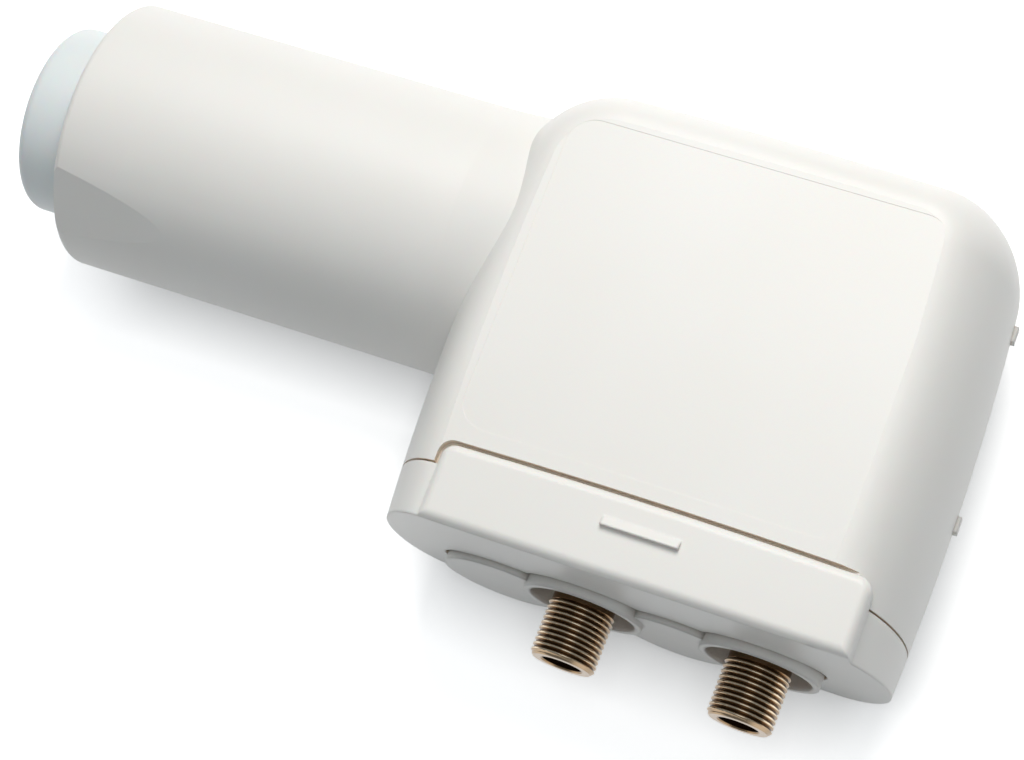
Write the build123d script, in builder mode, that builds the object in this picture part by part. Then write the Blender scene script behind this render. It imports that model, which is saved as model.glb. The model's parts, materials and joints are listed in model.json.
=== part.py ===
from build123d import *
from math import cos, pi, radians, sin, sqrt
import os

# Satellite LNB with two outputs, lying on its back.
# X runs along the feed neck (feed towards -X), the connectors point along -Y, Z is the face normal.
# The origin is on the neck's axis, where its straight part ends in front of the housing.

# Neck and feed
neck_radius = 20.0
neck_length = 60.0
neck_wall = 2.0
neck_edge = 1.0
neck_root = 9.0
neck_root_radius = 20.5
key_flat_depth = 0.9
key_flat_length = 18.0
key_flat_angle = 54.0
cap_radius = 14.1
cap_reach = 9.4
cap_wall = 1.4
cap_edge = 1.6
cap_clearance = 0.3
cap_flange_clearance = 0.4
cap_flange = 1.4
seal_width = 2.0
seal_thickness = 1.2

# Housing
housing_near = 1.2
housing_far = 76.8
housing_front = 21.5
housing_back = -20.5
housing_top = 24.1
near_lean = 2.0
near_roll = 7.5
far_roll = 10.0
top_roll = 8.0
near_bow_y = -8.0
near_bow_radius = 420.0
far_bow_y = -23.0
far_bow_radius = 450.0
top_bow_x = 45.0
top_bow_radius = 800.0
near_corner_radius = 15.0
far_corner_radius = 12.0
roll_steps = 4
wall = 2.0
parting_z = -9.0
label_left = 12.0
label_right = 66.8
label_bottom = -31.3
label_top = 15.5
label_radius = 4.0
label_depth = 0.06
rib_y = (-20.0, 6.0)
rib_length = 36.0
rib_width = 1.6
post_radius = 2.8

# Lower end: housing seam, sleeve, connector plate
seam_y = -37.2
sleeve_inset = 2.4
sleeve_wall = 1.8
sleeve_end = -39.0
ledge_thickness = 1.7
plate_thickness = 1.5

# Weather shield
shield_gap = 0.3
shield_end = -43.6
shield_end_tilt = 4.0
shield_floor_thickness = 1.4
shield_wall = 2.0
shield_travel = 16.0
panel_left = 11.9
panel_right = 72.4
panel_top = -33.8
panel_top_sag = 0.45
panel_proud = 0.6
panel_corner = 2.0
panel_edge = 1.2
panel_low_z = 12.0
panel_recess = 1.3
panel_recess_gap = 0.5
ridge_centre_x = 41.5
ridge_length = 11.0
ridge_top_y = -36.8
ridge_height = 1.9
ridge_proud = 0.8
arm_thickness = 2.0
arm_width = 8.0
arm_slot_gap = 0.3
near_arm_x = 8.7
far_arm_x = 69.7
stop_length = 2.0
stop_reach = 1.8
stop_gap = 0.5

# Connectors: 3/8 inch thread
connector_x = (31.5, 57.6)
connector_z = -4.6
connector_tip = -53.5
thread_radius = 4.7625
shank_radius = 4.5
hex_across_flats = 11.0
hex_length = 4.5
tip_chamfer = 0.5
collar_radius = 8.8
collar_hole_radius = 7.8
collar_end = -45.2
lobe_offset_x = -13.0
lobe_z = -8.2
lobe_radius = 8.8
lobe_end = -44.5
lobe_clearance = 0.4
dielectric_radius = 2.85
dielectric_recess = 1.0
dielectric_length = 14.5
stub_radius = 3.9
rear_bore_radius = 1.6
contact_radius = 0.7
contact_bend_y = -26.0
contact_recess = 3.0
contact_bend_radius = 2.0
connector_seal_radius = 6.4
fit_gap = 0.05
bore_gap = 0.25

# Die-cast chassis with its waveguide
chassis_left = 11.5
chassis_right = 67.5
chassis_bottom = -33.0
chassis_top = 16.0
chassis_low = -15.0
chassis_high = 14.5
chassis_wall = 2.2
chassis_corner = 3.0
deck_top = 10.5
deck_thickness = 2.0
waveguide_radius = 9.0
waveguide_wall = 1.4
waveguide_end = 44.0
waveguide_short = 2.5
boss_radius = 3.2
horn_boss_radius = 14.4
horn_boss_length = 6.0
horn_flange = 2.0
horn_wall = 1.5
horn_mouth_radius = 14.0
horn_throat_x = -18.0
horn_rim_clearance = 0.3
horn_rim = 2.0
horn_screw_circle_radius = 12.5
horn_screw_head_radius = 1.8
gasket_thickness = 0.4
lid_thickness = 1.0
screw_radius = 1.25
screw_head_radius = 2.4
screw_head = 0.9
lid_screw_depth = 6.0
horn_screw_depth = 5.0
horn_screw_head = 1.6

# Board and what hangs from it
board_thickness = 1.6
board_inset = 2.6
probe_radius = 0.6
bead_radius = 1.2
vertical_probe_x = 22.0
vertical_probe_low = 3.0
side_probe_x = 33.0
side_probe_y = 12.0
side_probe_reach = 3.0
divider_x = 27.5
divider_radius = 1.0
chip_height = 1.1
chip_size = 6.0
chip_points = ((24.0, -18.0), (34.0, -6.0), (46.0, -12.0), (54.0, 2.0))

# Snap hooks of the back cover
hook_y = (10.6, -17.9)
hook_z = -3.0
hook_height = 1.6
hook_width = 2.4
hook_strip_width = 6.0
hook_thickness = 1.3
hook_proud = 0.5
window_gap = 0.15
hook_clearance = 1.4
lip_gap = 0.12
lip_thickness = 1.2
lip_height = 2.5
lip_root = 3.0

# Derived places
neck_front = -neck_length
neck_bore = neck_radius - neck_wall
cap_flange_radius = neck_bore - cap_flange_clearance
horn_rim_radius = neck_bore - horn_rim_clearance
cap_front = neck_front - cap_reach
cap_seat = neck_front + neck_wall
seal_x = cap_seat + cap_flange
horn_mouth_x = seal_x + seal_thickness
plate_y = sleeve_end - plate_thickness
hex_y = chassis_bottom - hex_length
front_inside = housing_front - wall
back_inside = housing_back + wall
panel_z = housing_front + panel_proud
panel_underside = housing_front - panel_recess + shield_gap
panel_middle_x = (panel_left + panel_right) / 2
shield_top = seam_y - shield_gap
shield_low = shield_end - shield_wall * 2
floor_top = shield_end + shield_floor_thickness
end_normal = (0, -cos(radians(shield_end_tilt)), -sin(radians(shield_end_tilt)))
end_plane = Plane((0, shield_end, 0), x_dir=(1, 0, 0), z_dir=end_normal)
arm_top = seam_y + ledge_thickness + stop_gap + shield_travel + stop_length
chassis_middle = ((chassis_left + chassis_right) / 2, (chassis_bottom + chassis_top) / 2)
chassis_size = (chassis_right - chassis_left, chassis_top - chassis_bottom)
board_top = deck_top + board_thickness
lid_z = chassis_high + gasket_thickness
lid_top = lid_z + lid_thickness
far_reach = 2.0 * housing_far
boss_x = (chassis_left + boss_radius, (chassis_left + chassis_right) / 2, chassis_right - boss_radius)
boss_y = (chassis_bottom + boss_radius, chassis_top - boss_radius)
boss_points = [(x, y) for x in boss_x for y in boss_y]
corner_points = [(x, y) for x in (boss_x[0], boss_x[2]) for y in boss_y]

os.makedirs("parts", exist_ok=True)


def bow(reach, radius):
    # How far an arc of this radius falls back at this distance from its highest point
    return radius - sqrt(radius**2 - reach**2)


def far_side(y):
    # X of the housing's outer far side at height y
    return housing_far - bow(y - far_bow_y, far_bow_radius)


def housing_form(inset, low, high):
    # The housing's pillow form, moved inwards by inset, between two heights along Y.
    # Level slices are lofted; each is drawn in by a quarter ellipse towards the face and the back.
    with BuildPart() as form:
        for step in range(-roll_steps, roll_steps + 1):
            turn = pi / 2 * step / roll_steps
            roll = 1 - cos(turn)
            depth = housing_front if step > 0 else -housing_back
            near_x = housing_near + inset + (near_roll - inset) * roll + near_lean * sin(turn)
            far_x = housing_far - inset - (far_roll - inset) * roll
            top_y = housing_top - inset - (top_roll - inset) * roll
            near_low = (near_x + bow(low - near_bow_y, near_bow_radius), low)
            near_high = (near_x + bow(top_y - near_bow_y, near_bow_radius), top_y)
            far_high = (far_x - bow(top_y - far_bow_y, far_bow_radius), top_y)
            far_low = (far_x - bow(low - far_bow_y, far_bow_radius), low)
            top_middle = (top_bow_x, top_y + bow(far_x - top_bow_x, top_bow_radius))
            with BuildSketch(Plane.XY.offset((depth - inset) * sin(turn))) as level:
                with BuildLine():
                    ThreePointArc(near_low, (near_x, near_bow_y), near_high)
                    ThreePointArc(near_high, top_middle, far_high)
                    ThreePointArc(far_high, (far_x, far_bow_y), far_low)
                    Line(far_low, near_low)
                make_face()
                near_radius = near_corner_radius - inset - (near_roll - inset) * roll
                far_radius = far_corner_radius - inset - (top_roll - inset) * roll
                fillet(level.vertices().sort_by_distance(near_high)[0], near_radius)
                fillet(level.vertices().sort_by_distance(far_high)[0], far_radius)
        loft()
        if high < housing_top:
            with Locations((0, high, 0)):
                Box(
                    2 * far_reach,
                    far_reach,
                    2 * far_reach,
                    align=(Align.CENTER, Align.MAX, Align.CENTER),
                    mode=Mode.INTERSECT,
                )
    return form.part


def panel_outline(gap):
    # The raised panel's outline on the face, widened by a gap around its top and sides
    left = panel_left - gap
    right = panel_right + gap
    shoulder = panel_top - panel_top_sag + gap
    with BuildSketch() as outline:
        with BuildLine():
            ThreePointArc((left, shoulder), (panel_middle_x, panel_top + gap), (right, shoulder))
            Polyline((right, shoulder), (right, shield_low), (left, shield_low), (left, shoulder))
        make_face()
        for x in (left, right):
            fillet(outline.vertices().sort_by_distance((x, shoulder))[0], panel_corner)
    return outline.sketch


def ring(inner, outer, start, length, plane):
    # A plain ring on the plane's normal, from start over length
    with BuildPart() as tube:
        with BuildSketch(plane.offset(start)):
            Circle(outer)
            Circle(inner, mode=Mode.SUBTRACT)
        extrude(amount=length)
    return tube.part


def export(piece, name):
    piece.part.label = name
    export_step(piece.part, f"parts/{name}.step")


# Forms shared by the two halves of the housing
outer_form = housing_form(0, seam_y, housing_top)
inner_form = housing_form(wall, seam_y + ledge_thickness, housing_top)

with BuildPart() as closed_shell:
    add(outer_form)
    add(housing_form(sleeve_inset, sleeve_end, seam_y))
    add(inner_form, mode=Mode.SUBTRACT)
    add(
        housing_form(sleeve_inset + sleeve_wall, sleeve_end, seam_y + ledge_thickness),
        mode=Mode.SUBTRACT,
    )

with BuildPart() as back_form:
    add(outer_form)
    split(bisect_by=Plane.XY.offset(parting_z), keep=Keep.BOTTOM)

# Neck: a full round tube that ends on the back cover's surface
with BuildPart() as neck:
    with BuildSketch(Plane.XY) as neck_section:
        with BuildLine():
            Polyline(
                (neck_front, 0),
                (neck_front, neck_radius),
                (0, neck_radius),
                (neck_root, neck_root_radius),
                (neck_root, 0),
                close=True,
            )
        make_face()
        fillet(neck_section.vertices().sort_by_distance((neck_front, neck_radius))[0], neck_edge)
    revolve(axis=Axis.X)
    add(back_form.part, mode=Mode.SUBTRACT)
    with BuildSketch(Plane.XZ.rotated((key_flat_angle, 0, 0))):
        with BuildLine():
            Polyline(
                (neck_front, neck_radius - key_flat_depth),
                (neck_front + key_flat_length, neck_radius),
                (neck_front, neck_radius),
                close=True,
            )
        make_face()
    extrude(amount=neck_radius, both=True, mode=Mode.SUBTRACT)

# Front shell: face, sides and the whole neck
with BuildPart() as front_shell:
    add(closed_shell.part)
    split(bisect_by=Plane.XY.offset(parting_z), keep=Keep.TOP)
    add(neck.part)
    add(inner_form, mode=Mode.SUBTRACT)
    with BuildSketch(Plane.XY.offset(housing_front - label_depth)):
        with Locations(((label_left + label_right) / 2, (label_bottom + label_top) / 2)):
            RectangleRounded(label_right - label_left, label_top - label_bottom, label_radius)
    extrude(amount=wall, mode=Mode.SUBTRACT)
    with BuildSketch(Plane.XY.offset(housing_front - panel_recess)):
        add(panel_outline(panel_recess_gap))
    extrude(amount=wall, mode=Mode.SUBTRACT)
    with BuildSketch(Plane.YZ.offset(cap_seat)):
        Circle(neck_bore)
    extrude(amount=neck_length + neck_root - neck_wall, mode=Mode.SUBTRACT)
    with BuildSketch(Plane.YZ.offset(neck_front)):
        Circle(cap_radius + cap_clearance)
    extrude(amount=neck_wall, mode=Mode.SUBTRACT)
    with BuildSketch(Plane.XY.offset(lid_top)):
        with Locations(*[(chassis_middle[0], y) for y in rib_y]):
            Rectangle(rib_length, rib_width)
    extrude(amount=front_inside - lid_top + wall / 2)
    for y in hook_y:
        with Locations((far_side(y), y, hook_z)):
            Box(
                4 * wall,
                hook_width + 2 * window_gap,
                hook_height + 2 * window_gap,
                mode=Mode.SUBTRACT,
            )
export(front_shell, "front_shell")

# Back cover: back, lip inside the front shell, posts under the chassis, snap hooks
with BuildPart() as lip:
    lip_inner = wall + lip_gap + lip_thickness
    add(housing_form(wall / 2, seam_y + ledge_thickness, housing_top))
    split(bisect_by=Plane.XY.offset(parting_z), keep=Keep.BOTTOM)
    add(housing_form(wall + lip_gap, seam_y + ledge_thickness, housing_top))
    add(housing_form(lip_inner, seam_y + ledge_thickness, housing_top), mode=Mode.SUBTRACT)
    split(bisect_by=Plane.XY.offset(parting_z + lip_height), keep=Keep.BOTTOM)
    split(bisect_by=Plane.XY.offset(parting_z - lip_root), keep=Keep.TOP)

with BuildPart() as back_cover:
    add(closed_shell.part)
    split(bisect_by=Plane.XY.offset(parting_z), keep=Keep.BOTTOM)
    add(lip.part)
    with BuildSketch(Plane.YZ):
        Circle(neck_bore)
    extrude(amount=neck_root, mode=Mode.SUBTRACT)
    with BuildSketch(Plane.XY.offset(chassis_low)):
        with Locations(*corner_points):
            Circle(post_radius)
    extrude(amount=-(chassis_low - back_inside + wall / 2))
    for y in hook_y:
        strip_x = far_side(y) - wall - hook_clearance - hook_thickness / 2
        strip_low = parting_z - lip_root
        strip_high = hook_z + hook_height
        with Locations((strip_x, y, (strip_low + strip_high) / 2)):
            Box(hook_thickness, hook_strip_width, strip_high - strip_low)
        tip_reach = far_side(y) + hook_proud - strip_x
        with Locations((strip_x + tip_reach / 2, y, hook_z)):
            Box(tip_reach, hook_width, hook_height)
export(back_cover, "back_cover")

# Feed cap, its seal and the horn behind it
with BuildPart() as feed_cap:
    with BuildSketch(Plane.XY) as cap_section:
        with BuildLine():
            Polyline(
                (cap_front, 0),
                (cap_front, cap_radius),
                (cap_seat, cap_radius),
                (cap_seat, cap_flange_radius),
                (seal_x, cap_flange_radius),
                (seal_x, cap_radius - cap_wall),
                (cap_front + cap_wall, cap_radius - cap_wall),
                (cap_front + cap_wall, 0),
                close=True,
            )
        make_face()
        fillet(cap_section.vertices().sort_by_distance((cap_front, cap_radius))[0], cap_edge)
    revolve(axis=Axis.X)
export(feed_cap, "feed_cap")

with BuildPart() as cap_seal:
    add(ring(cap_flange_radius - seal_width, cap_flange_radius, seal_x, seal_thickness, Plane.YZ))
export(cap_seal, "cap_seal")

with BuildPart() as feed_horn:
    with BuildSketch(Plane.XY):
        with BuildLine():
            Polyline(
                (chassis_left, waveguide_radius),
                (horn_throat_x, waveguide_radius),
                (horn_mouth_x, horn_mouth_radius),
                (horn_mouth_x, horn_rim_radius),
                (horn_mouth_x + horn_rim, horn_rim_radius),
                (horn_mouth_x + horn_rim, horn_mouth_radius + horn_wall),
                (horn_throat_x, waveguide_radius + horn_wall),
                (chassis_left - horn_flange, waveguide_radius + horn_wall),
                (chassis_left - horn_flange, horn_boss_radius),
                (chassis_left, horn_boss_radius),
                close=True,
            )
        make_face()
    revolve(axis=Axis.X)
    with BuildSketch(Plane.YZ.offset(chassis_left - horn_flange)):
        with PolarLocations(horn_screw_circle_radius, 4, start_angle=45):
            Circle(screw_radius + fit_gap)
    extrude(amount=horn_flange, mode=Mode.SUBTRACT)
export(feed_horn, "feed_horn")

with BuildPart() as horn_screws:
    with BuildSketch(Plane.YZ.offset(chassis_left - horn_flange)):
        with PolarLocations(horn_screw_circle_radius, 4, start_angle=45):
            Circle(horn_screw_head_radius)
    extrude(amount=-horn_screw_head)
    with BuildSketch(Plane.YZ.offset(chassis_left - horn_flange)):
        with PolarLocations(horn_screw_circle_radius, 4, start_angle=45):
            Circle(screw_radius)
    extrude(amount=horn_flange + horn_screw_depth)
export(horn_screws, "horn_screws")

# Chassis: die-cast box with a board deck, the waveguide under it and screw bosses
with BuildPart() as chassis:
    with BuildSketch(Plane.XY.offset(chassis_low)):
        with Locations(chassis_middle):
            RectangleRounded(*chassis_size, chassis_corner)
    extrude(amount=chassis_high - chassis_low)
    with BuildSketch(Plane.XY.offset(chassis_low)):
        with Locations(chassis_middle):
            RectangleRounded(
                chassis_size[0] - 2 * chassis_wall,
                chassis_size[1] - 2 * chassis_wall,
                chassis_corner - chassis_wall,
            )
    extrude(amount=deck_top - deck_thickness - chassis_low, mode=Mode.SUBTRACT)
    with BuildSketch(Plane.YZ.offset(chassis_left)):
        Circle(waveguide_radius + waveguide_wall)
    extrude(amount=waveguide_end - chassis_left)
    with BuildSketch(Plane.YZ.offset(chassis_left)):
        Circle(horn_boss_radius)
    extrude(amount=horn_boss_length)
    with BuildSketch(Plane.XY.offset(deck_top)):
        with Locations(chassis_middle):
            RectangleRounded(
                chassis_size[0] - 2 * chassis_wall,
                chassis_size[1] - 2 * chassis_wall,
                chassis_corner - chassis_wall,
            )
    extrude(amount=chassis_high - deck_top, mode=Mode.SUBTRACT)
    with BuildSketch(Plane.XY.offset(chassis_low)):
        with Locations(*boss_points):
            Circle(boss_radius)
    extrude(amount=chassis_high - chassis_low)
    with BuildSketch(Plane.YZ.offset(chassis_left)):
        Circle(waveguide_radius)
    extrude(amount=waveguide_end - waveguide_short - chassis_left, mode=Mode.SUBTRACT)
    with BuildSketch(Plane.YZ.offset(chassis_left)):
        with PolarLocations(horn_screw_circle_radius, 4, start_angle=45):
            Circle(screw_radius + fit_gap)
    extrude(amount=horn_screw_depth, mode=Mode.SUBTRACT)
    with BuildSketch(Plane.XY.offset(chassis_high)):
        with Locations(*boss_points):
            Circle(screw_radius + fit_gap)
    extrude(amount=-lid_screw_depth, mode=Mode.SUBTRACT)
    with BuildSketch(Plane.XZ.offset(-chassis_bottom)):
        with Locations(*[(x, connector_z) for x in connector_x]):
            Circle(stub_radius + fit_gap)
    extrude(amount=-chassis_wall, mode=Mode.SUBTRACT)
    with BuildSketch(Plane.XY.offset(deck_top)):
        with Locations(*[(x, contact_bend_y) for x in connector_x]):
            Circle(bead_radius)
        with Locations((vertical_probe_x, 0), (side_probe_x, side_probe_y)):
            Circle(bead_radius)
    extrude(amount=-deck_top, mode=Mode.SUBTRACT)
    with BuildSketch(Plane.XZ):
        with Locations((side_probe_x, 0)):
            Circle(bead_radius)
    extrude(amount=-(side_probe_y - probe_radius), mode=Mode.SUBTRACT)
    with BuildSketch(Plane.XZ):
        with Locations((divider_x, 0)):
            Circle(divider_radius + fit_gap)
    extrude(amount=waveguide_radius + waveguide_wall, both=True, mode=Mode.SUBTRACT)
export(chassis, "chassis")

with BuildPart() as waveguide_divider:
    with BuildSketch(Plane.XZ):
        with Locations((divider_x, 0)):
            Circle(divider_radius)
    extrude(amount=waveguide_radius + waveguide_wall / 2, both=True)
export(waveguide_divider, "waveguide_divider")

# Circuit board with its chips, probes and probe beads
with BuildPart() as circuit_board:
    with BuildSketch(Plane.XY.offset(deck_top)):
        with Locations(chassis_middle):
            Rectangle(chassis_size[0] - 2 * board_inset, chassis_size[1] - 2 * board_inset)
        with Locations(*boss_points):
            Circle(boss_radius + bore_gap, mode=Mode.SUBTRACT)
        with Locations(*[(x, contact_bend_y) for x in connector_x]):
            Circle(contact_radius + fit_gap, mode=Mode.SUBTRACT)
        with Locations((vertical_probe_x, 0), (side_probe_x, side_probe_y)):
            Circle(probe_radius + fit_gap, mode=Mode.SUBTRACT)
    extrude(amount=board_thickness)
export(circuit_board, "circuit_board")

with BuildPart() as board_chips:
    with BuildSketch(Plane.XY.offset(board_top)):
        with Locations(*chip_points):
            Rectangle(chip_size, chip_size)
    extrude(amount=chip_height)
export(board_chips, "board_chips")

with BuildPart() as vertical_probe:
    with BuildSketch(Plane.XY.offset(vertical_probe_low)):
        with Locations((vertical_probe_x, 0)):
            Circle(probe_radius)
    extrude(amount=board_top - vertical_probe_low)
export(vertical_probe, "vertical_probe")

with BuildPart() as side_probe:
    with BuildLine() as side_probe_path:
        FilletPolyline(
            (side_probe_x, side_probe_y, board_top),
            (side_probe_x, side_probe_y, 0),
            (side_probe_x, side_probe_reach, 0),
            radius=contact_bend_radius,
        )
    with BuildSketch(Plane(side_probe_path.line @ 0, z_dir=side_probe_path.line % 0)):
        Circle(probe_radius)
    sweep()
export(side_probe, "side_probe")

bead_places = {
    "vertical_probe_bead": (vertical_probe_x, 0, waveguide_radius + bore_gap),
    "side_probe_bead": (side_probe_x, side_probe_y, deck_top - deck_thickness),
}
for bead_name, (bead_x, bead_y, bead_low) in bead_places.items():
    with BuildPart() as probe_bead:
        with BuildSketch(Plane.XY.offset(bead_low)):
            with Locations((bead_x, bead_y)):
                Circle(bead_radius - fit_gap)
                Circle(probe_radius + fit_gap, mode=Mode.SUBTRACT)
        extrude(amount=deck_top - bead_low)
    export(probe_bead, bead_name)

# Chassis lid with its gasket and screws
with BuildPart() as lid_gasket:
    with BuildSketch(Plane.XY.offset(chassis_high)):
        with Locations(chassis_middle):
            RectangleRounded(*chassis_size, chassis_corner)
            RectangleRounded(
                chassis_size[0] - 2 * chassis_wall,
                chassis_size[1] - 2 * chassis_wall,
                chassis_corner - chassis_wall,
                mode=Mode.SUBTRACT,
            )
        with Locations(*boss_points):
            Circle(boss_radius)
            Circle(screw_radius + fit_gap, mode=Mode.SUBTRACT)
    extrude(amount=gasket_thickness)
export(lid_gasket, "lid_gasket")

with BuildPart() as chassis_lid:
    with BuildSketch(Plane.XY.offset(lid_z)):
        with Locations(chassis_middle):
            RectangleRounded(*chassis_size, chassis_corner)
        with Locations(*boss_points):
            Circle(screw_radius + fit_gap, mode=Mode.SUBTRACT)
    extrude(amount=lid_thickness)
export(chassis_lid, "chassis_lid")

with BuildPart() as lid_screws:
    with BuildSketch(Plane.XY.offset(lid_top)):
        with Locations(*boss_points):
            Circle(screw_head_radius)
    extrude(amount=screw_head)
    with BuildSketch(Plane.XY.offset(lid_top)):
        with Locations(*boss_points):
            Circle(screw_radius)
    extrude(amount=-(lid_top - chassis_high + lid_screw_depth))
export(lid_screws, "lid_screws")

# Connector plate: two open collars and two blank lobes on a plate over the sleeve's end
with BuildPart() as connector_plate:
    add(housing_form(sleeve_inset, plate_y, sleeve_end))
    with BuildSketch(Plane.XZ.offset(-plate_y)):
        with Locations(*[(x + lobe_offset_x, lobe_z) for x in connector_x]):
            Circle(lobe_radius)
    extrude(amount=plate_y - lobe_end)
    with BuildSketch(Plane.XZ.offset(-plate_y)):
        with Locations(*[(x, connector_z) for x in connector_x]):
            Circle(collar_radius)
    extrude(amount=plate_y - collar_end)
    with BuildSketch(Plane.XZ.offset(-plate_y)):
        with Locations(*[(x, connector_z) for x in connector_x]):
            Circle(collar_hole_radius)
    extrude(amount=plate_y - collar_end, mode=Mode.SUBTRACT)
    with BuildSketch(Plane.XZ.offset(-sleeve_end)):
        with Locations(*[(x, connector_z) for x in connector_x]):
            Circle(shank_radius + bore_gap)
        with Locations(*[(x + arm_thickness / 2, 0) for x in (near_arm_x, far_arm_x)]):
            Rectangle(arm_thickness + 2 * arm_slot_gap, arm_width + 2 * arm_slot_gap)
    extrude(amount=plate_thickness, mode=Mode.SUBTRACT)
export(connector_plate, "connector_plate")

# Connectors, one node for each piece of each
for number, x in enumerate(connector_x, start=1):
    axis_plane = Plane((x, 0, connector_z), x_dir=(1, 0, 0), z_dir=(0, -1, 0))
    with BuildPart() as connector_body:
        with BuildSketch(axis_plane.offset(-collar_end)):
            Circle(thread_radius)
        extrude(amount=collar_end - connector_tip)
        chamfer(connector_body.faces().sort_by(Axis.Y)[0].edges(), tip_chamfer)
        with BuildSketch(axis_plane.offset(-hex_y)):
            Circle(shank_radius)
        extrude(amount=hex_y - collar_end)
        with BuildSketch(axis_plane.offset(-chassis_bottom)):
            RegularPolygon(hex_across_flats / 2, 6, major_radius=False)
        extrude(amount=hex_length)
        with BuildSketch(axis_plane.offset(-chassis_bottom)):
            Circle(stub_radius)
        extrude(amount=-chassis_wall)
        with BuildSketch(axis_plane.offset(-connector_tip)):
            Circle(dielectric_radius + fit_gap)
        extrude(amount=-(dielectric_recess + dielectric_length), mode=Mode.SUBTRACT)
        with BuildSketch(axis_plane.offset(-connector_tip)):
            Circle(rear_bore_radius)
        extrude(amount=-far_reach, mode=Mode.SUBTRACT)
    export(connector_body, f"connector_body_{number}")

    dielectric_front = connector_tip + dielectric_recess
    with BuildPart() as connector_dielectric:
        add(
            ring(
                contact_radius + fit_gap,
                dielectric_radius,
                -dielectric_front,
                -dielectric_length,
                axis_plane,
            )
        )
    export(connector_dielectric, f"connector_dielectric_{number}")

    with BuildPart() as connector_contact:
        with BuildLine() as contact_path:
            FilletPolyline(
                (x, connector_tip + contact_recess, connector_z),
                (x, contact_bend_y, connector_z),
                (x, contact_bend_y, board_top),
                radius=contact_bend_radius,
            )
        with BuildSketch(Plane(contact_path.line @ 0, z_dir=contact_path.line % 0)):
            Circle(contact_radius)
        sweep()
    export(connector_contact, f"connector_contact_{number}")

    with BuildPart() as connector_seal:
        seal_inner = shank_radius + fit_gap
        add(ring(seal_inner, connector_seal_radius, -sleeve_end, sleeve_end - hex_y, axis_plane))
    export(connector_seal, f"connector_seal_{number}")

# Weather shield: skirt, raised panel with its thumb ridge, two guide arms
with BuildPart() as panel_seat:
    add(housing_form(-shield_gap, shield_top, panel_top))
    split(bisect_by=Plane.XY.offset(panel_underside), keep=Keep.BOTTOM)

with BuildPart() as panel:
    with BuildSketch(Plane.XY.offset(panel_low_z)):
        add(panel_outline(0))
    extrude(amount=panel_z - panel_low_z)
    split(bisect_by=end_plane, keep=Keep.BOTTOM)
    fillet(panel.faces().sort_by(Axis.Z)[-1].edges(), panel_edge)
    add(panel_seat.part, mode=Mode.SUBTRACT)
    add(housing_form(shield_wall, shield_low, panel_top), mode=Mode.SUBTRACT)
    with BuildSketch(Plane.YZ.offset(ridge_centre_x - ridge_length / 2)):
        with BuildLine():
            Polyline(
                (ridge_top_y, panel_z - panel_proud / 2),
                (ridge_top_y - ridge_height, panel_z + ridge_proud),
                (ridge_top_y - ridge_height, panel_z - panel_proud / 2),
                close=True,
            )
        make_face()
    extrude(amount=ridge_length)

with BuildPart() as shield_cavity:
    add(housing_form(shield_wall, shield_low, shield_top))
    split(bisect_by=end_plane.offset(-shield_floor_thickness), keep=Keep.BOTTOM)

with BuildPart() as weather_shield:
    add(housing_form(0, shield_low, shield_top))
    split(bisect_by=end_plane, keep=Keep.BOTTOM)
    add(panel.part)
    add(shield_cavity.part, mode=Mode.SUBTRACT)
    with BuildSketch(Plane.XZ.offset(-sleeve_end)):
        with Locations(*[(x + lobe_offset_x, lobe_z) for x in connector_x]):
            Circle(lobe_radius + lobe_clearance)
        with Locations(*[(x, connector_z) for x in connector_x]):
            Circle(collar_radius + lobe_clearance)
    extrude(amount=sleeve_end - shield_low, mode=Mode.SUBTRACT)
    for arm_x, stop_x in ((near_arm_x, near_arm_x - stop_reach), (far_arm_x, far_arm_x + arm_thickness)):
        with Locations((arm_x, floor_top - shield_floor_thickness / 2, -arm_width / 2)):
            Box(
                arm_thickness,
                arm_top - floor_top + shield_floor_thickness / 2,
                arm_width,
                align=(Align.MIN, Align.MIN, Align.MIN),
            )
        with Locations((stop_x, arm_top - stop_length, 0)):
            Box(stop_reach, stop_length, arm_width / 2, align=(Align.MIN, Align.MIN, Align.MIN))
export(weather_shield, "weather_shield")
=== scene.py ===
import json
import math

import bpy
from mathutils import Matrix, Vector


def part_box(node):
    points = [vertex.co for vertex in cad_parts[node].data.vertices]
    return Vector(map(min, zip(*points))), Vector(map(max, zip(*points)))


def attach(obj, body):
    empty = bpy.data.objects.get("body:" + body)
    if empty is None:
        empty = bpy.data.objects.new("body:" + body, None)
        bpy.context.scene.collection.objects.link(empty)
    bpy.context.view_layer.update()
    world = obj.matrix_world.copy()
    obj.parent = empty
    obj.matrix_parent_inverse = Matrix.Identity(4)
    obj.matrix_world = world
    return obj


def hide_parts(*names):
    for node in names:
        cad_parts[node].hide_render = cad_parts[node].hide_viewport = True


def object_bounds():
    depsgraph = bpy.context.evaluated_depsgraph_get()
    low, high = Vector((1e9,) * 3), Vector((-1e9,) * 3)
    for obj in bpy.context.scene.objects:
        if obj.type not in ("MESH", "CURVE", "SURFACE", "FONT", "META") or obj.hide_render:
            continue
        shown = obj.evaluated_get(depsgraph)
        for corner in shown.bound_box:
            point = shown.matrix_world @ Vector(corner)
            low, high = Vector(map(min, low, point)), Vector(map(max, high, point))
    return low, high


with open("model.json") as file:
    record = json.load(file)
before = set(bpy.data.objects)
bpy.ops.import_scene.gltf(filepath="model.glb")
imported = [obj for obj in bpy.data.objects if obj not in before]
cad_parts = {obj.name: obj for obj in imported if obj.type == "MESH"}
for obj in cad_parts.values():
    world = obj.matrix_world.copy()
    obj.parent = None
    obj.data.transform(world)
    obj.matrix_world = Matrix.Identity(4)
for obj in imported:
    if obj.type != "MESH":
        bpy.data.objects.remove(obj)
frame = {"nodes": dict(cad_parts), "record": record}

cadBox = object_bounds()
millimetre = 0.001
nodes = frame["nodes"]
mainBody = "lnb"


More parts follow.
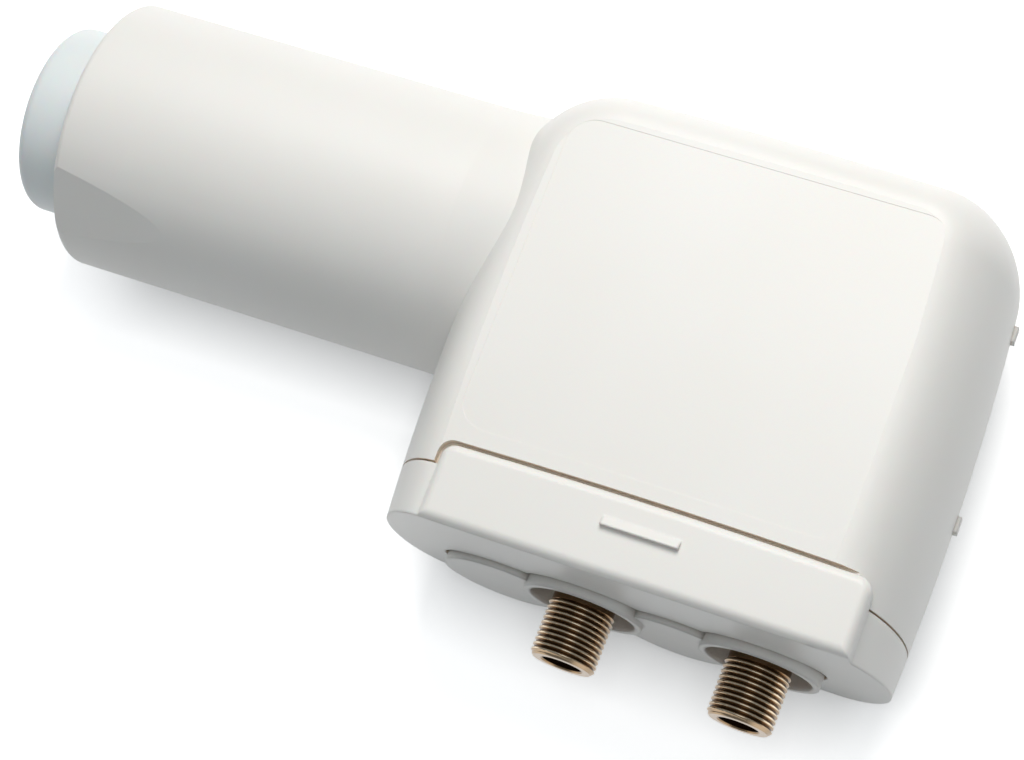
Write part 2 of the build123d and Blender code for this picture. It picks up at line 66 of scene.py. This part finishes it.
def toLinear(hexColour):
    channels = [int(hexColour[i:i + 2], 16) / 255 for i in (1, 3, 5)]
    return tuple(c / 12.92 if c <= 0.04045 else ((c + 0.055) / 1.055) ** 2.4 for c in channels) + (1.0,)


def addNode(tree, kind, inputs=None, **settings):
    item = tree.nodes.new(kind)
    for name, value in settings.items():
        setattr(item, name, value)
    for name, value in (inputs or {}).items():
        if isinstance(value, bpy.types.NodeSocket):
            tree.links.new(value, item.inputs[name])
        else:
            item.inputs[name].default_value = value
    return item


def mixColours(tree, factor, first, second):
    colours = [toLinear(c) if isinstance(c, str) else c for c in (first, second)]
    return addNode(tree, "ShaderNodeMix", {0: factor, 6: colours[0], 7: colours[1]}, data_type="RGBA").outputs[2]


def newMaterial(name):
    material = bpy.data.materials.new(name)
    material.use_nodes = True
    tree = material.node_tree
    tree.nodes.clear()
    output = tree.nodes.new("ShaderNodeOutputMaterial")
    return material, tree, output.inputs["Surface"]


def perMillimetre(size):
    return 1.0 / (size * millimetre)  # texture scale at which one pattern cell is this many mm


def moulded(name, look):
    # Injection-moulded plastic: a faint cloud in the colour, a fine eroded grain, slightly soft edges
    material, tree, surface = newMaterial(name)
    place = addNode(tree, "ShaderNodeTexCoord").outputs["Object"]
    cloud = addNode(tree, "ShaderNodeTexNoise",
                    {"Vector": place, "Scale": perMillimetre(look["cloudMm"]), "Detail": 2.0})
    colour = mixColours(tree, cloud.outputs["Fac"], look["light"], look["dark"])
    if "paintedGapShade" in look:  # narrow gaps and recesses get a painted shade, found by ambient occlusion
        inGap = addNode(tree, "ShaderNodeAmbientOcclusion", {"Distance": look["gapMm"] * millimetre}, samples=4)
        openness = addNode(tree, "ShaderNodeMapRange", {"Value": inGap.outputs["AO"], "From Min": 0.1, "From Max": 0.4})
        colour = mixColours(tree, openness.outputs["Result"], look["paintedGapShade"], colour)
    grain = addNode(tree, "ShaderNodeTexNoise",
                    {"Vector": place, "Scale": perMillimetre(look["grainMm"]), "Detail": 3.0})
    gloss = addNode(tree, "ShaderNodeMapRange",
                    {"Value": grain.outputs["Fac"], "To Min": look["rough"] - 0.04, "To Max": look["rough"] + 0.04})
    soft = addNode(tree, "ShaderNodeBevel", {"Radius": look["edgeMm"] * millimetre}, samples=6)
    bump = addNode(tree, "ShaderNodeBump",
                   {"Height": grain.outputs["Fac"], "Strength": look["grainStrength"],
                    "Distance": look["grainDepthMm"] * millimetre, "Normal": soft.outputs["Normal"]})
    shader = addNode(tree, "ShaderNodeBsdfPrincipled",
                     {"Base Color": colour, "Roughness": gloss.outputs["Result"],
                      "Normal": bump.outputs["Normal"], "IOR": look["ior"],
                      "Subsurface Weight": look["depth"], "Subsurface Scale": look["depthMm"] * millimetre})
    tree.links.new(shader.outputs["BSDF"], surface)
    return material


def metal(name, look):
    # Metal: a slow cloud of tarnish over the plate or casting, and fine pits in its gloss
    material, tree, surface = newMaterial(name)
    place = addNode(tree, "ShaderNodeTexCoord").outputs["Object"]
    cloud = addNode(tree, "ShaderNodeTexNoise",
                    {"Vector": place, "Scale": perMillimetre(look["cloudMm"]), "Detail": 3.0})
    pits = addNode(tree, "ShaderNodeTexNoise",
                   {"Vector": place, "Scale": perMillimetre(look["pitMm"]), "Detail": 4.0})
    gloss = addNode(tree, "ShaderNodeMapRange",
                    {"Value": pits.outputs["Fac"], "To Min": look["rough"] - 0.06, "To Max": look["rough"] + 0.06})
    bump = addNode(tree, "ShaderNodeBump",
                   {"Height": pits.outputs["Fac"], "Strength": look["pitStrength"],
                    "Distance": look["pitDepthMm"] * millimetre})
    colour = mixColours(tree, cloud.outputs["Fac"], look["light"], look["dark"])
    if "root" in look:  # a thread: pale crests as a painted highlight, painted shade darkening towards the roots
        groove = addNode(tree, "ShaderNodeAttribute", attribute_name="groove").outputs["Fac"]
        crestHighlightMask = addNode(tree, "ShaderNodeMapRange", {"Value": groove, "From Min": 0.0, "From Max": 0.15})
        flank = mixColours(tree, crestHighlightMask.outputs["Result"], look["crest"], colour)
        rootShadeMask = addNode(tree, "ShaderNodeMapRange", {"Value": groove, "From Min": 0.65, "From Max": 1.0})
        colour = mixColours(tree, rootShadeMask.outputs["Result"], flank, look["root"])
    shader = addNode(tree, "ShaderNodeBsdfPrincipled",
                     {"Base Color": colour, "Metallic": 1.0, "Roughness": gloss.outputs["Result"],
                      "Normal": bump.outputs["Normal"]})
    tree.links.new(shader.outputs["BSDF"], surface)
    return material


# ABS, moulded with a fine eroded texture: warm white, a broad soft sheen
# The real grain is near 0.05 mm, too fine to draw, so it is drawn ten times coarser
absLook = {"light": "#F4F2EE", "dark": "#EFECE6", "cloudMm": 25.0, "grainMm": 0.5, "rough": 0.42,
           "grainStrength": 0.12, "grainDepthMm": 0.03, "edgeMm": 0.6, "ior": 1.53, "depth": 0.08, "depthMm": 1.0}
# In the white ABS, narrow gaps get a painted warm shade
whiteLook = dict(absLook, paintedGapShade="#EBD6BC", gapMm=1.5)
whiteAbs = moulded("white moulded ABS", whiteLook)
# The same ABS with the housing's crisp edges, and with the connector plate's soft rims; inside the collars a dark
# painted shade stands in for depth
shellAbs = moulded("white moulded ABS, crisp", dict(whiteLook, edgeMm=0.0))
plateAbs = moulded("white moulded ABS, soft", dict(whiteLook, edgeMm=0.9, paintedGapShade="#7A6650", gapMm=5.0))
# Polypropylene, thin and slightly see-through: cooler, paler blue-grey
capLook = dict(absLook, light="#F0F4F4", dark="#E8EDED", rough=0.38, ior=1.49, depth=0.25, depthMm=2.0)
capPolypropylene = moulded("pale polypropylene", capLook)
# PTFE, turned: off-white and waxy
ptfeLook = dict(absLook, light="#CFC9BE", dark="#B9B2A6", cloudMm=2.0, rough=0.5, ior=1.35, edgeMm=0.1)
turnedPtfe = moulded("turned PTFE", ptfeLook)
# EPDM rubber: black, dull
rubberLook = dict(absLook, light="#1E1E1D", dark="#151514", rough=0.7, depth=0.0, edgeMm=0.2)
sealRubber = moulded("EPDM rubber", rubberLook)
# Solder mask over glass epoxy: green, glossy
boardLook = dict(absLook, light="#1F6B3A", dark="#18592F", rough=0.3, depth=0.0, edgeMm=0.1)
solderMask = moulded("solder mask on glass epoxy", boardLook)
# Moulded epoxy: near black, half dull
chipLook = dict(absLook, light="#1C1C1E", dark="#141416", rough=0.55, depth=0.0, edgeMm=0.1)
chipEpoxy = moulded("moulded chip epoxy", chipLook)
# Nickel-plated brass: bright plate with a warm brown cast
nickelLook = {"light": "#B59C80", "dark": "#8A7054", "cloudMm": 3.0, "pitMm": 0.3, "rough": 0.27,
              "pitStrength": 0.15, "pitDepthMm": 0.02}
nickelPlate = metal("nickel-plated brass", nickelLook)
# The same plate on the threads: pale crests as a painted highlight, bronze flanks, dark roots as painted shade
threadLook = dict(nickelLook, light="#AC9070", dark="#876C4E", crest="#D6C6AE", root="#2E1F14", rough=0.22)
threadPlate = metal("nickel-plated brass thread", threadLook)
# Die-cast aluminium: mid grey, dull, pitted
castLook = dict(nickelLook, light="#C3C4C6", dark="#A5A6A9", cloudMm=8.0, pitMm=0.6, rough=0.5)
castAlloy = metal("die-cast aluminium", castLook)
# Zinc-plated steel: pale grey, bright
steelLook = dict(nickelLook, light="#C9C9CB", dark="#B2B3B6", cloudMm=4.0, rough=0.3)
zincSteel = metal("zinc-plated steel", steelLook)
# Gold-plated brass: yellow, bright
goldLook = dict(nickelLook, light="#D8B56A", dark="#BF9A52", cloudMm=2.0, rough=0.25)
goldContact = metal("gold-plated brass", goldLook)
print("materials made")

slotFinish = {"white_abs": whiteAbs, "feed_cap_plastic": capPolypropylene, "nickel_plate": nickelPlate,
              "cast_alloy": castAlloy, "steel": zincSteel, "seal_rubber": sealRubber, "board": solderMask,
              "chip": chipEpoxy, "contact_metal": goldContact, "dielectric": turnedPtfe}
nodeFinish = {"front_shell": shellAbs, "connector_plate": plateAbs}
for subpart in frame["record"]["subparts"]:
    item = nodes[subpart["node"]]
    item.data.materials.clear()
    item.data.materials.append(nodeFinish.get(subpart["node"]) or slotFinish[subpart["material_slot"]])
print("CAD pieces dressed")


# Threaded connectors: 3/8-32 thread, plain shank, hexagon under the plate, open mouth
# tipShade, shankShade and boreShade set the painted highlight and shade on the tip, shank and bore
connector = {"pitch": 0.794, "threadDepth": 0.32, "threadRadius": 4.7625, "shankRadius": 4.5,
             "threadLength": 8.3, "boreRadius": 2.9, "mouthDepth": 15.5, "tipChamfer": 0.5,
             "hexAcross": 11.0, "hexLength": 4.5, "stubRadius": 3.9, "stubLength": 2.2, "rearBore": 1.6,
             "crestFlat": 0.24, "rootFlat": 0.1, "mouthChamfer": 0.25,
             "tipShade": 0.12, "shankShade": 0.5, "boreShade": 1.0, "sharpAngle": 40.0,
             "turnSteps": 72, "pitchSteps": 16}  # mm; the groove is drawn shallower than the standard's 0.49


def grooveAt(depth, turn):
    # V thread with narrow flats: 0 on the crest, 1 in the root; depth is in mm from the tip, turn is 0 to 1
    away = abs(2 * ((depth / connector["pitch"] - turn) % 1.0) - 1)
    slope = 1 - connector["crestFlat"] - connector["rootFlat"]
    return min(1.0, max(0.0, (away - connector["crestFlat"]) / slope))


def threadRadiusAt(depth, turn):
    radius = connector["threadRadius"] - connector["threadDepth"] * grooveAt(depth, turn)
    return min(radius, connector["threadRadius"] - max(0.0, connector["tipChamfer"] - depth))


def hexRadiusAt(turn):
    sector = (turn * 6.0) % 1.0
    return connector["hexAcross"] / 2 / math.cos((sector - 0.5) * math.pi / 3)


def plain(radius):
    return lambda turn: radius


def shadeAt(depth, turn, radius):
    # How deep in a groove or in the bore a point lies, for the painted highlight and shade: 0 bright, 1 dark; the bore
    # is painted dark
    if radius <= connector["boreRadius"]:
        return connector["boreShade"]
    if depth < connector["tipChamfer"]:
        return connector["tipShade"]
    return grooveAt(depth, turn) if depth < connector["threadLength"] else connector["shankShade"]


def makeConnector(name, tip):
    steps = connector["turnSteps"]
    bore, mouth, chamfer = connector["boreRadius"], connector["mouthDepth"], connector["mouthChamfer"]
    # Each ring of the lathe is its depth from the tip and its radius as a function of the turn
    lathe = [(mouth, plain(connector["rearBore"])), (mouth, plain(bore)), (chamfer, plain(bore)),
             (0.0, plain(bore + chamfer))]
    count = round(connector["threadLength"] / connector["pitch"] * connector["pitchSteps"])
    for ring in range(count + 1):
        depth = connector["threadLength"] * ring / count
        lathe.append((depth, lambda turn, depth=depth: threadRadiusAt(depth, turn)))
    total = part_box(name)[1][1] / millimetre - tip[1]
    hexEnd = total - connector["stubLength"]
    hexStart = hexEnd - connector["hexLength"]
    shank, stub = plain(connector["shankRadius"]), plain(connector["stubRadius"])
    lathe += [(connector["threadLength"], shank), (hexStart, shank), (hexStart, hexRadiusAt), (hexEnd, hexRadiusAt),
              (hexEnd, stub), (total, stub), (total, plain(connector["rearBore"]))]
    points = []
    shade = []
    for depth, radiusAt in lathe:
        for step in range(steps):
            turn = step / steps
            angle = 2 * math.pi * turn
            radius = radiusAt(turn)
            shade.append(shadeAt(depth, turn, radius))
            points.append(((tip[0] + radius * math.cos(angle)) * millimetre, (tip[1] + depth) * millimetre,
                           (tip[2] + radius * math.sin(angle)) * millimetre))
    faces = []
    rings = len(lathe)
    for ring in range(rings):
        upper = (ring + 1) % rings
        for step in range(steps):
            after = (step + 1) % steps
            faces.append((ring * steps + step, ring * steps + after, upper * steps + after, upper * steps + step))
    mesh = bpy.data.meshes.new(name + "_threaded")
    mesh.from_pydata(points, [], faces)
    mesh.attributes.new("groove", "FLOAT", "POINT").data.foreach_set("value", shade)
    mesh.validate()
    piece = bpy.data.objects.new(name + "_threaded", mesh)
    bpy.context.scene.collection.objects.link(piece)
    mesh.materials.append(threadPlate)
    mesh.shade_smooth()
    mesh.set_sharp_from_angle(angle=math.radians(connector["sharpAngle"]))
    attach(piece, mainBody)
    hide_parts(name)


for number in (1, 2):
    node = f"connector_body_{number}"
    low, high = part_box(node)
    tip = ((low[0] + high[0]) / 2 / millimetre, low[1] / millimetre, (low[2] + high[2]) / 2 / millimetre)
    makeConnector(node, tip)
print("threaded connectors made")


# Floor: white, lit and shadowed; what is seen of it is lifted to white,
# less so close to the object, which deepens the shadow there
floorLook = {"size": 4.0, "colour": "#BCBCBC", "seenColour": "#FFFFFF", "lift": 0.66, "gapMm": 0.02,
             "nearMm": 12.0, "fibreMm": 4.0}


def makeFloor():
    material, tree, surface = newMaterial("white studio paper")
    place = addNode(tree, "ShaderNodeTexCoord").outputs["Object"]
    fibre = addNode(tree, "ShaderNodeTexNoise",
                    {"Vector": place, "Scale": perMillimetre(floorLook["fibreMm"]), "Detail": 2.0})
    rough = addNode(tree, "ShaderNodeMapRange", {"Value": fibre.outputs["Fac"], "To Min": 0.85, "To Max": 0.95})
    path = addNode(tree, "ShaderNodeLightPath")
    seen = addNode(tree, "ShaderNodeMath", {0: path.outputs["Is Camera Ray"], 1: path.outputs["Is Glossy Ray"]},
                   operation="MAXIMUM")
    seenToo = addNode(tree, "ShaderNodeMath", {0: seen.outputs[0], 1: path.outputs["Is Transmission Ray"]},
                      operation="MAXIMUM")
    tone = mixColours(tree, seenToo.outputs[0], floorLook["colour"], floorLook["seenColour"])
    paper = addNode(tree, "ShaderNodeBsdfPrincipled",
                    {"Base Color": tone, "Roughness": rough.outputs["Result"], "Specular IOR Level": 0.0})
    near = addNode(tree, "ShaderNodeAmbientOcclusion", {"Distance": floorLook["nearMm"] * millimetre}, samples=8)
    clear = addNode(tree, "ShaderNodeMath", {0: near.outputs["AO"], 1: floorLook["lift"]}, operation="MULTIPLY")
    lift = addNode(tree, "ShaderNodeMath", {0: seenToo.outputs[0], 1: clear.outputs[0]}, operation="MULTIPLY")
    glow = addNode(tree, "ShaderNodeEmission", {"Strength": lift.outputs[0]})
    both = addNode(tree, "ShaderNodeAddShader", {0: paper.outputs["BSDF"], 1: glow.outputs["Emission"]})
    tree.links.new(both.outputs["Shader"], surface)
    half = floorLook["size"] / 2
    level = cadBox[0][2] - floorLook["gapMm"] * millimetre
    mesh = bpy.data.meshes.new("floor")
    mesh.from_pydata([(-half, -half, level), (half, -half, level), (half, half, level), (-half, half, level)],
                     [], [(0, 1, 2, 3)])
    mesh.materials.append(material)
    floor = bpy.data.objects.new("floor", mesh)
    bpy.context.scene.collection.objects.link(floor)


makeFloor()


# Light: a wide soft key from beyond the top edge, a weak fill from the near side, an even room
lights = {"key": {"place": (0.03, 0.24, 0.40), "size": 0.30, "power": 1.58, "aim": (0.03, 0.0, 0.0),
                  "colour": "#FFFDFA"},
          "fill": {"place": (0.15, -0.12, 0.60), "size": 0.40, "power": 0.38, "aim": (0.03, -0.01, 0.0),
                   "colour": "#FFFFFF"}}
room = {"level": 0.295, "seenLevel": 1.0, "seenColour": "#FFFFFF",
        "colour": "#F0F9FF"}  # slightly cool, so that the shaded sides turn a neutral grey


def makeLights():
    for name, light in lights.items():
        lamp = bpy.data.lights.new(name, "AREA")
        lamp.shape = "DISK"
        lamp.size = light["size"]
        lamp.energy = light["power"]
        lamp.color = toLinear(light["colour"])[:3]
        holder = bpy.data.objects.new(name, lamp)
        holder.location = light["place"]
        direction = Vector(light["aim"]) - Vector(light["place"])
        holder.rotation_euler = direction.to_track_quat("-Z", "Y").to_euler()
        bpy.context.scene.collection.objects.link(holder)
    world = bpy.data.worlds.new("white room")
    world.use_nodes = True
    tree = world.node_tree
    tree.nodes.clear()
    path = addNode(tree, "ShaderNodeLightPath")
    level = addNode(tree, "ShaderNodeMapRange",
                    {"Value": path.outputs["Is Camera Ray"], "To Min": room["level"], "To Max": room["seenLevel"]})
    tone = mixColours(tree, path.outputs["Is Camera Ray"], room["colour"], room["seenColour"])
    air = addNode(tree, "ShaderNodeBackground", {"Color": tone, "Strength": level.outputs["Result"]})
    addNode(tree, "ShaderNodeOutputWorld", {"Surface": air.outputs["Background"]})
    bpy.context.scene.world = world


makeLights()


# Camera: fitted to the neck's sides, its front circle and both connectors
view = {"place": (0.1266, -0.1199, 0.3965), "right": (0.9179, 0.3558, -0.1757),
        "up": (-0.2896, 0.9033, 0.3167), "focalPixels": 3000.0, "frameWidth": 1024.0, "sensor": 36.0}


def makeCamera():
    camera = bpy.data.cameras.new("camera")
    camera.sensor_width = view["sensor"]
    camera.lens = view["focalPixels"] / view["frameWidth"] * view["sensor"]
    camera.clip_start = 0.01
    right = Vector(view["right"]).normalized()
    back = right.cross(Vector(view["up"])).normalized()
    up = back.cross(right)
    turn = Matrix((right, up, back)).transposed()
    holder = bpy.data.objects.new("camera", camera)
    holder.matrix_world = Matrix.Translation(view["place"]) @ turn.to_4x4()
    bpy.context.scene.collection.objects.link(holder)
    bpy.context.scene.camera = holder


makeCamera()
bpy.context.scene.view_settings.view_transform = "Standard"
print("floor, lights and camera placed")
